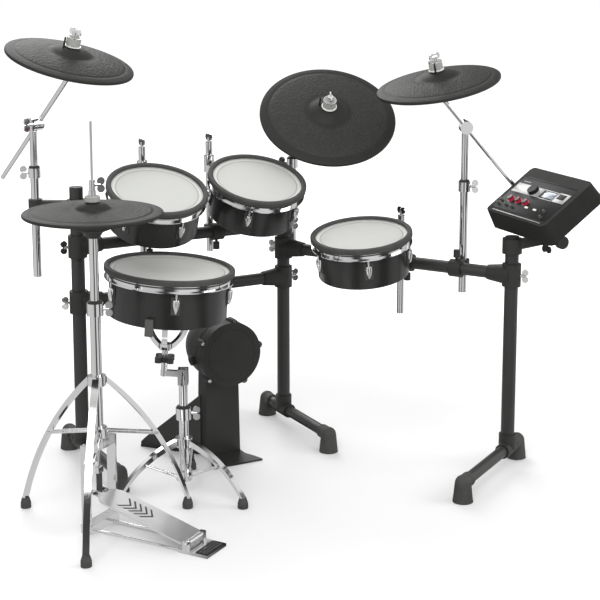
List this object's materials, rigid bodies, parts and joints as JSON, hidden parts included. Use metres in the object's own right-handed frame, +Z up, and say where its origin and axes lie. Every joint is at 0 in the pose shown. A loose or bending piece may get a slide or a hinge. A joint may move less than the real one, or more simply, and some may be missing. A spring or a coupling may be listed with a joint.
{
  "type": "electronic drum kit",
  "caption": "Electronic drum kit on a black tube rack: mesh-head drum pads, rubber cymbal pads on booms, hi-hat with pedal, kick tower and sound module.",
  "frame": {"origin": "bottom centre of the kit's bounding box, on the floor", "axes": "+X to the drummer's right, +Y away from the drummer, +Z up"},
  "size_m": [1.4204, 1.0088, 1.1754],
  "materials": {
    "chrome": "polished plating",
    "black_paint": "fine black powder coat",
    "black_plastic": "moulded, fine grain",
    "rubber": "matt",
    "mesh": "woven mesh",
    "shell_lacquer": "black lacquer",
    "control_plastic": "smooth",
    "screen": "glossy"
  },
  "bodies": {
    "stand": {"rack_legs": "black_paint", "rack_foot_tubes": "black_paint", "rack_bars": "black_paint", "rack_castings": "black_plastic", "rack_wing_bolts": "chrome", "mount_clamps": "black_plastic", "mount_knobs": "black_plastic", "rubber_feet": "rubber", "lower_tubes": "chrome", "tripod_legs": "chrome", "tripod_braces": "chrome", "stand_collars": "chrome", "hihat_pedal_base": "chrome", "kick_tower": "black_paint", "kick_housing": "black_plastic", "kick_pad": "rubber", "module_bracket": "black_plastic"},
    "hihat_footboard": {"hihat_footboard": "chrome"},
    "hihat_rod": {"hihat_rod": "chrome", "hihat_belt": "rubber", "hihat_pad": "rubber"},
    "hihat_upper": {"hihat_upper_tube": "chrome", "hihat_seat": "black_plastic"},
    "snare_upper": {"snare_stand_upper": "chrome"},
    "snare_drum": {"snare_basket": "chrome", "snare_shell": "shell_lacquer", "snare_hoop": "chrome", "snare_head": "mesh"},
    "left_tom_mount": {"left_tom_post": "chrome"},
    "left_tom_drum": {"left_tom_shell": "shell_lacquer", "left_tom_hoop": "chrome", "left_tom_head": "mesh"},
    "right_tom_mount": {"right_tom_post": "chrome"},
    "right_tom_drum": {"right_tom_shell": "shell_lacquer", "right_tom_hoop": "chrome", "right_tom_head": "mesh"},
    "floor_tom_mount": {"floor_tom_post": "chrome"},
    "floor_tom_drum": {"floor_tom_shell": "shell_lacquer", "floor_tom_hoop": "chrome", "floor_tom_head": "mesh"},
    "left_crash_upper": {"left_crash_upper_tube": "chrome"},
    "left_crash_boom": {"left_crash_boom": "chrome"},
    "left_crash_tilter": {"left_crash_tilter": "chrome"},
    "left_crash_pad": {"left_crash_pad": "rubber"},
    "ride_upper": {"ride_upper_tube": "chrome"},
    "ride_boom": {"ride_boom": "chrome"},
    "ride_tilter": {"ride_tilter": "chrome"},
    "ride_pad": {"ride_pad": "rubber"},
    "right_crash_upper": {"right_crash_upper_tube": "chrome"},
    "right_crash_boom": {"right_crash_boom": "chrome"},
    "right_crash_tilter": {"right_crash_tilter": "chrome"},
    "right_crash_pad": {"right_crash_pad": "rubber"},
    "module": {"module_case": "black_plastic", "module_screen": "screen"},
    "module_dial": {"module_dial": "control_plastic"},
    "module_knob_left": {"module_knob_left": "control_plastic"},
    "module_knob_middle": {"module_knob_middle": "control_plastic"},
    "module_knob_right": {"module_knob_right": "control_plastic"},
    "module_button_left": {"module_button_left": "control_plastic"},
    "module_button_right": {"module_button_right": "control_plastic"}
  },
  "joints": [
    {"name": "hihat_pedal", "type": "hinge", "parent": "stand", "child": "hihat_footboard", "pos_m": [-0.39928, -0.38939, 0.02], "axis": [-0.8387, -0.5446, 0], "range_deg": [0, 4.2]},
    {"name": "hihat_pull", "type": "slide", "parent": "stand", "child": "hihat_rod", "axis": [0, 0, 1], "range_m": [-0.0206, 0], "stiffness_N_per_m": 2500, "springref_m": 0.014},
    {"name": "hihat_height", "type": "slide", "parent": "stand", "child": "hihat_upper", "axis": [0, 0, 1], "range_m": [-0.05, 0]},
    {"name": "snare_height", "type": "slide", "parent": "stand", "child": "snare_upper", "axis": [0, 0, 1], "range_m": [-0.05, 0]},
    {"name": "snare_tilt", "type": "hinge", "parent": "snare_upper", "child": "snare_drum", "pos_m": [-0.28124, -0.07363, 0.318], "axis": [-0.4695, -0.8829, 0], "range_deg": [-6, 6]},
    {"name": "left_tom_height", "type": "slide", "parent": "stand", "child": "left_tom_mount", "axis": [0, 0, 1], "range_m": [0, 0.03]},
    {"name": "left_tom_tilt", "type": "hinge", "parent": "left_tom_mount", "child": "left_tom_drum", "pos_m": [-0.21984, 0.29904, 0.762], "axis": [-0.9798, 0.2001, 0], "range_deg": [-2, 10]},
    {"name": "right_tom_height", "type": "slide", "parent": "stand", "child": "right_tom_mount", "axis": [0, 0, 1], "range_m": [0, 0.03]},
    {"name": "right_tom_tilt", "type": "hinge", "parent": "right_tom_mount", "child": "right_tom_drum", "pos_m": [-0.00504, 0.2994, 0.762], "axis": [-0.9687, -0.2484, 0], "range_deg": [-4, 10]},
    {"name": "floor_tom_height", "type": "slide", "parent": "stand", "child": "floor_tom_mount", "axis": [0, 0, 1], "range_m": [-0.04, 0.04]},
    {"name": "floor_tom_tilt", "type": "hinge", "parent": "floor_tom_mount", "child": "floor_tom_drum", "pos_m": [0.34358, -0.07174, 0.604], "axis": [-0.3181, 0.9481, 0], "range_deg": [-6, 8]},
    {"name": "left_crash_height", "type": "slide", "parent": "stand", "child": "left_crash_upper", "axis": [0, 0, 1], "range_m": [-0.06, 0.06]},
    {"name": "left_crash_boom_tilt", "type": "hinge", "parent": "left_crash_upper", "child": "left_crash_boom", "pos_m": [-0.51224, 0.34637, 0.915], "axis": [-0.9396, -0.3424, 0], "range_deg": [-8, 8]},
    {"name": "left_crash_tilter_tilt", "type": "hinge", "parent": "left_crash_boom", "child": "left_crash_tilter", "pos_m": [-0.46225, 0.20918, 1.06669], "axis": [-0.96, -0.2703, 0.0725], "range_deg": [-10, 10]},
    {"name": "left_crash_rock", "type": "hinge", "parent": "left_crash_tilter", "child": "left_crash_pad", "pos_m": [-0.45581, 0.19789, 1.10977], "axis": [-0.96, -0.2703, 0.0725], "range_deg": [-6, 6], "stiffness_Nm_per_rad": 8},
    {"name": "ride_height", "type": "slide", "parent": "stand", "child": "ride_upper", "axis": [0, 0, 1], "range_m": [-0.01, 0.05]},
    {"name": "ride_boom_tilt", "type": "hinge", "parent": "ride_upper", "child": "ride_boom", "pos_m": [0.24076, 0.31737, 0.847], "axis": [-0.8637, -0.504, 0], "range_deg": [-4, 8]},
    {"name": "ride_tilter_tilt", "type": "hinge", "parent": "ride_boom", "child": "ride_tilter", "pos_m": [0.29812, 0.21909, 0.88185], "axis": [-0.5869, -0.5774, -0.5676], "range_deg": [-10, 10]},
    {"name": "ride_rock", "type": "hinge", "parent": "ride_tilter", "child": "ride_pad", "pos_m": [0.28858, 0.19358, 0.91767], "axis": [-0.5869, -0.5774, -0.5676], "range_deg": [-6, 6], "stiffness_Nm_per_rad": 8},
    {"name": "right_crash_height", "type": "slide", "parent": "stand", "child": "right_crash_upper", "axis": [0, 0, 1], "range_m": [-0.03, 0.05]},
    {"name": "right_crash_boom_tilt", "type": "hinge", "parent": "right_crash_upper", "child": "right_crash_boom", "pos_m": [0.51676, -0.14063, 0.9], "axis": [0.4223, 0.9064, 0], "range_deg": [-6, 6]},
    {"name": "right_crash_tilter_tilt", "type": "hinge", "parent": "right_crash_boom", "child": "right_crash_tilter", "pos_m": [0.45381, -0.1113, 0.98963], "axis": [0.5938, 0.7874, 0.1658], "range_deg": [-10, 10]},
    {"name": "right_crash_rock", "type": "hinge", "parent": "right_crash_tilter", "child": "right_crash_pad", "pos_m": [0.44377, -0.11296, 1.03347], "axis": [0.5938, 0.7874, 0.1658], "range_deg": [-6, 6], "stiffness_Nm_per_rad": 8},
    {"name": "module_tilt", "type": "hinge", "parent": "stand", "child": "module", "pos_m": [0.62524, -0.36322, 0.65991], "axis": [-0.0489, -0.9988, 0], "range_deg": [-8, 8]},
    {"name": "module_dial_turn", "type": "hinge", "parent": "module", "child": "module_dial", "pos_m": [0.60326, -0.33211, 0.74826], "axis": [-0.5686, 0.0278, 0.8221], "continuous": true},
    {"name": "module_knob_left_turn", "type": "hinge", "parent": "module", "child": "module_knob_left", "pos_m": [0.56957, -0.2804, 0.72321], "axis": [-0.5686, 0.0278, 0.8221], "range_deg": [-140, 140]},
    {"name": "module_knob_middle_turn", "type": "hinge", "parent": "module", "child": "module_knob_middle", "pos_m": [0.56796, -0.31336, 0.72321], "axis": [-0.5686, 0.0278, 0.8221], "range_deg": [-140, 140]},
    {"name": "module_knob_right_turn", "type": "hinge", "parent": "module", "child": "module_knob_right", "pos_m": [0.56635, -0.34632, 0.72321], "axis": [-0.5686, 0.0278, 0.8221], "range_deg": [-140, 140]},
    {"name": "module_button_left_press", "type": "slide", "parent": "module", "child": "module_button_left", "axis": [-0.5686, 0.0278, 0.8221], "range_m": [-0.002, 0], "stiffness_N_per_m": 400, "springref_m": 0.001},
    {"name": "module_button_right_press", "type": "slide", "parent": "module", "child": "module_button_right", "axis": [-0.5686, 0.0278, 0.8221], "range_m": [-0.002, 0], "stiffness_N_per_m": 400, "springref_m": 0.001}
  ],
  "couplings": [
    {"joint": "hihat_pedal", "follows": "hihat_pull", "rad_per_m": -3.5574}
  ]
}
